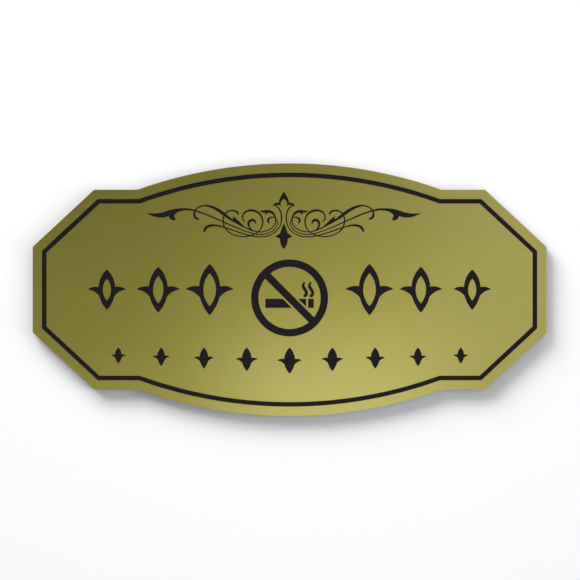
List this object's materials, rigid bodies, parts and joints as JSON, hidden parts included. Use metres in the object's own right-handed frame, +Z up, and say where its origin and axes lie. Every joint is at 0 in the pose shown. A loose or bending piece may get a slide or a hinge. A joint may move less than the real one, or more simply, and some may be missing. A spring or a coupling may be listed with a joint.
{
  "type": "no smoking sign",
  "caption": "Flat wall sign with an arched, clipped-corner outline: gold-faced black plastic engraved with a border, a scroll, leaves and a no smoking symbol, fixed by foam tape.",
  "frame": {"origin": "centre of the back, on the wall's plane: the middle of the centre tape strip's adhesive face", "axes": "+Z up as the sign hangs, +X to the right as it is read, the engraved face looks along -Y, and +Y points into the wall"},
  "size_m": [0.18, 0.0043, 0.0886],
  "materials": {
    "black_core": "satin",
    "gold_cap": "satin",
    "foam_tape": "matte"
  },
  "bodies": {
    "root": {"core_sheet": "black_core", "face_cap": "gold_cap", "tape_left": "foam_tape", "tape_centre": "foam_tape", "tape_right": "foam_tape"}
  },
  "joints": []
}
